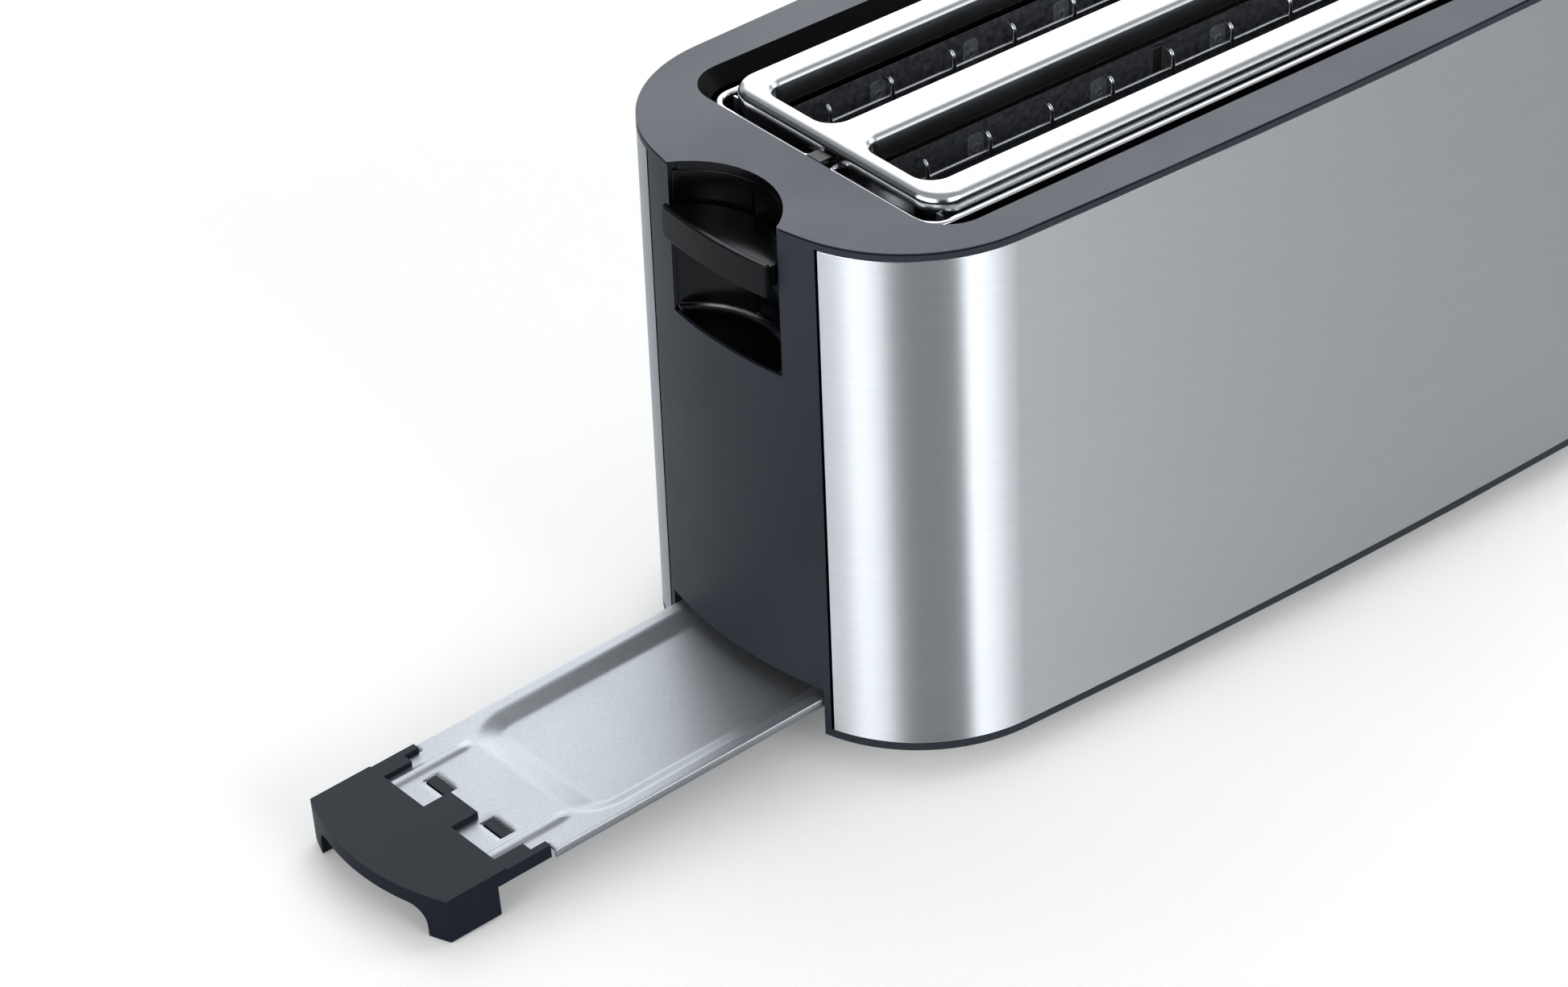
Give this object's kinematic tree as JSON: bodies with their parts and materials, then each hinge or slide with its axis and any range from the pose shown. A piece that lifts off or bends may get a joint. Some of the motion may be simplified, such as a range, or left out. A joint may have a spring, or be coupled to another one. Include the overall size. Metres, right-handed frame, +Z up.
{
  "type": "pop up toaster",
  "caption": "Long-slot pop-up toaster with brushed steel side panels, black ends and top, recessed lever, pull-out crumb tray and fold-up bun rack.",
  "frame": {"origin": "centre of the body's footprint on the plane its feet stand on", "axes": "+X towards the lever and crumb tray end, +Y towards the plain long side (controls on -Y), +Z up"},
  "size_m": [0.5408, 0.1804, 0.2054],
  "materials": {
    "black_plastic": "fine matt texture",
    "dark_plastic": "matt black",
    "brushed_steel": "brushed along the length",
    "polished_steel": "satin polished",
    "chrome_wire": "bright plated wire",
    "zinc_steel": "matt zinc-coated sheet",
    "dark_steel": "heat-darkened sheet",
    "mica": "mica board",
    "nichrome": "oxidised resistance ribbon",
    "copper_coil": "enamelled winding",
    "circuit_board": "solder-masked board",
    "component_plastic": "moulded component body",
    "terminal_plastic": "off-white terminal block",
    "light_pipe": "clear frosted light pipe",
    "rubber_foot": "soft rubber"
  },
  "bodies": {
    "casing": {"housing": "black_plastic", "top_cover": "black_plastic", "front_steel_panel": "brushed_steel", "rear_steel_panel": "brushed_steel", "slot_plate": "polished_steel", "base_plate": "zinc_steel", "feet": "rubber_foot", "base_screws": "zinc_steel", "lever_recess": "dark_plastic", "top_frame": "dark_steel", "end_wall_lever": "zinc_steel", "end_wall_far": "zinc_steel", "reflector_front": "dark_steel", "reflector_rear": "dark_steel", "heater_front_outer": "mica", "heater_front_inner": "mica", "heater_rear_inner": "mica", "heater_rear_outer": "mica", "ribbon_front_outer": "nichrome", "ribbon_front_inner": "nichrome", "ribbon_rear_inner": "nichrome", "ribbon_rear_outer": "nichrome", "holder_front_outer": "dark_steel", "holder_front_inner": "dark_steel", "holder_rear_inner": "dark_steel", "holder_rear_outer": "dark_steel", "guide_rod": "chrome_wire", "return_spring": "chrome_wire", "solenoid": "copper_coil", "control_bezel": "dark_plastic", "light_pipes": "light_pipe", "control_board": "circuit_board", "potentiometer": "component_plastic", "button_switches": "component_plastic", "bracket_lever": "dark_steel", "bracket_far": "dark_steel", "cord_gland": "dark_plastic", "terminal_block": "terminal_plastic", "tray_rails": "zinc_steel", "heat_shield": "zinc_steel"},
    "carriage": {"carriage": "zinc_steel", "lever_knob": "black_plastic", "bread_rack_front": "zinc_steel", "bread_rack_rear": "zinc_steel", "armature": "zinc_steel"},
    "tray": {"crumb_tray": "zinc_steel", "tray_handle": "black_plastic"},
    "cage_front_outer_body": {"cage_front_outer": "chrome_wire"},
    "cage_front_inner_body": {"cage_front_inner": "chrome_wire"},
    "cage_rear_inner_body": {"cage_rear_inner": "chrome_wire"},
    "cage_rear_outer_body": {"cage_rear_outer": "chrome_wire"},
    "dial": {"browning_dial": "dark_plastic"},
    "stop_key": {"stop_button": "dark_plastic"},
    "defrost_key": {"defrost_button": "dark_plastic"},
    "reheat_key": {"reheat_button": "dark_plastic"},
    "bun_front": {"bun_rack_front": "chrome_wire"},
    "bun_rear": {"bun_rack_rear": "chrome_wire"}
  },
  "joints": [
    {"name": "lever_slide", "type": "slide", "parent": "casing", "child": "carriage", "axis": [0, 0, -1], "range_m": [0, 0.028], "stiffness_N_per_m": 90, "springref_m": -0.04, "deforming": ["return_spring"]},
    {"name": "cage_front_outer_lean", "type": "hinge", "parent": "casing", "child": "cage_front_outer_body", "pos_m": [0, -0.0405, 0.06], "axis": [-1, 0, 0], "range_deg": [0, 3.1]},
    {"name": "cage_front_inner_lean", "type": "hinge", "parent": "casing", "child": "cage_front_inner_body", "pos_m": [0, -0.0095, 0.06], "axis": [1, 0, 0], "range_deg": [0, 3.1]},
    {"name": "cage_rear_inner_lean", "type": "hinge", "parent": "casing", "child": "cage_rear_inner_body", "pos_m": [0, 0.0095, 0.06], "axis": [-1, 0, 0], "range_deg": [0, 3.1]},
    {"name": "cage_rear_outer_lean", "type": "hinge", "parent": "casing", "child": "cage_rear_outer_body", "pos_m": [0, 0.0405, 0.06], "axis": [1, 0, 0], "range_deg": [0, 3.1]},
    {"name": "tray_slide", "type": "slide", "parent": "casing", "child": "tray", "axis": [0.9984, 0, -0.0558], "range_m": [-0.155, 0]},
    {"name": "dial_turn", "type": "hinge", "parent": "casing", "child": "dial", "pos_m": [0.108, -0.0864, 0.05], "axis": [0, -1, 0], "range_deg": [-135, 135]},
    {"name": "stop_press", "type": "slide", "parent": "casing", "child": "stop_key", "axis": [0, 1, 0], "range_m": [0, 0.0015], "stiffness_N_per_m": 400, "springref_m": -0.003},
    {"name": "defrost_press", "type": "slide", "parent": "casing", "child": "defrost_key", "axis": [0, 1, 0], "range_m": [0, 0.0015], "stiffness_N_per_m": 400, "springref_m": -0.003},
    {"name": "reheat_press", "type": "slide", "parent": "casing", "child": "reheat_key", "axis": [0, 1, 0], "range_m": [0, 0.0015], "stiffness_N_per_m": 400, "springref_m": -0.003},
    {"name": "bun_front_fold", "type": "hinge", "parent": "casing", "child": "bun_front", "pos_m": [0, -0.0055, 0.198], "axis": [-1, 0, 0], "range_deg": [0, 60]},
    {"name": "bun_rear_fold", "type": "hinge", "parent": "casing", "child": "bun_rear", "pos_m": [0, 0.0055, 0.198], "axis": [1, 0, 0], "range_deg": [0, 60]}
  ],
  "couplings": [
    {"joint": "cage_front_outer_lean", "follows": "lever_slide", "rad_per_m": 1.87},
    {"joint": "cage_front_inner_lean", "follows": "lever_slide", "rad_per_m": 1.87},
    {"joint": "cage_rear_inner_lean", "follows": "lever_slide", "rad_per_m": 1.87},
    {"joint": "cage_rear_outer_lean", "follows": "lever_slide", "rad_per_m": 1.87}
  ]
}
